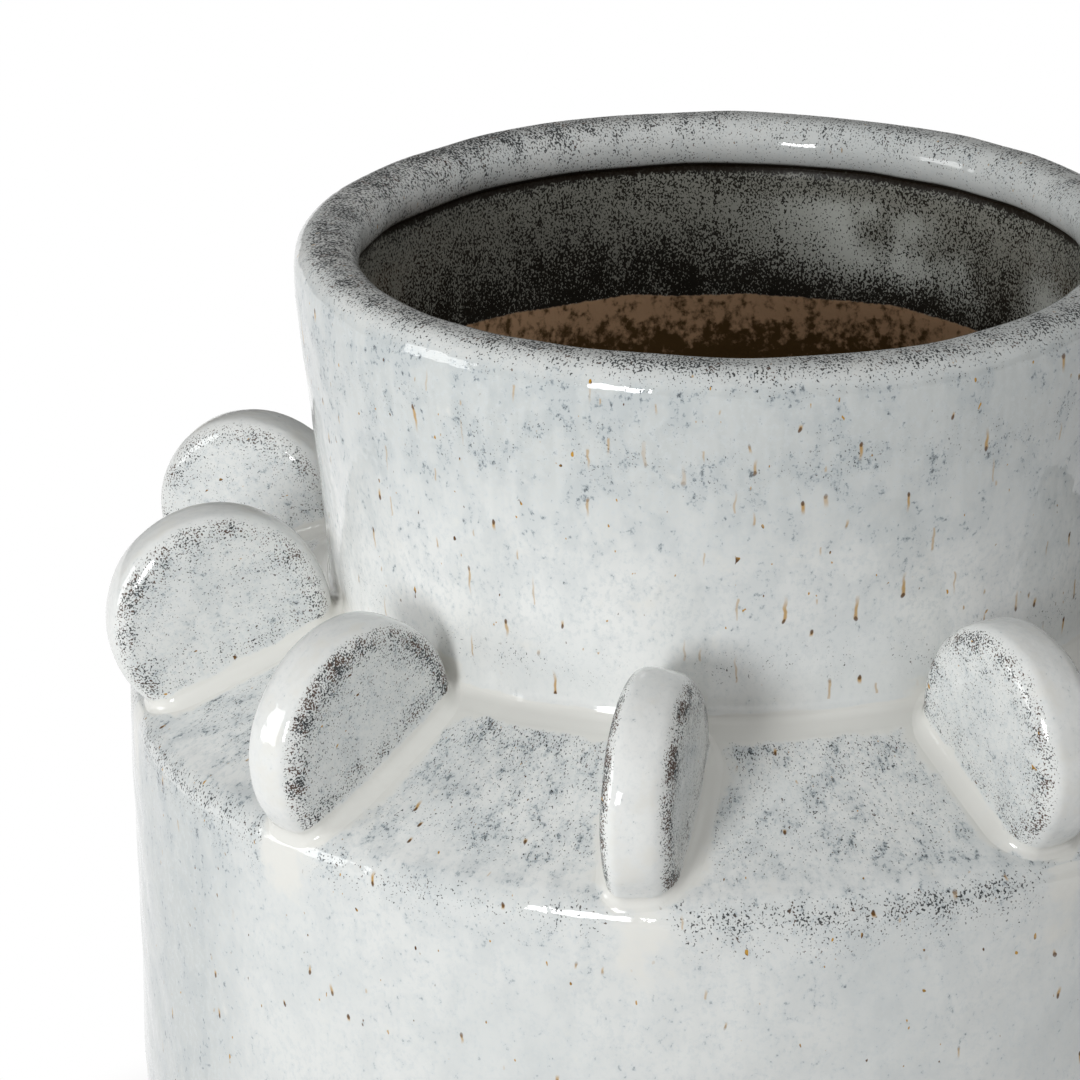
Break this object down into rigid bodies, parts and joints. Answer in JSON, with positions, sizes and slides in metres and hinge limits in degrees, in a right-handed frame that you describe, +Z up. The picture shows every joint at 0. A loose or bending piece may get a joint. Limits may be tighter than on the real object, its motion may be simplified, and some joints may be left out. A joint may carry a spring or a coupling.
{
  "type": "finned stoneware vase",
  "caption": "Wide-necked stoneware vase with a thick rounded rim and upright disc fins standing around its sloping shoulder, glazed speckled white outside and bare clay inside.",
  "frame": {"origin": "middle of the flat base, on the surface that the vase stands on", "axes": "+Z up along the axis of the vessel; the first fin stands on -Y"},
  "size_m": [0.2904, 0.299, 0.33],
  "materials": {
    "white_glaze": "gloss, speckled",
    "bare_clay": "matte, mottled"
  },
  "bodies": {
    "root": {"floor_slab": "bare_clay", "floor_seam_coil": "bare_clay", "body_wall": "white_glaze", "shoulder_ring": "white_glaze", "neck_collar": "white_glaze", "neck_seam_coil": "white_glaze", "rim_coil": "white_glaze", "fin_01": "white_glaze", "fin_02": "white_glaze", "fin_03": "white_glaze", "fin_04": "white_glaze", "fin_05": "white_glaze", "fin_06": "white_glaze", "fin_07": "white_glaze", "fin_08": "white_glaze", "fin_09": "white_glaze", "fin_10": "white_glaze", "fin_seam_01": "white_glaze", "fin_seam_02": "white_glaze", "fin_seam_03": "white_glaze", "fin_seam_04": "white_glaze", "fin_seam_05": "white_glaze", "fin_seam_06": "white_glaze", "fin_seam_07": "white_glaze", "fin_seam_08": "white_glaze", "fin_seam_09": "white_glaze", "fin_seam_10": "white_glaze"}
  },
  "joints": []
}
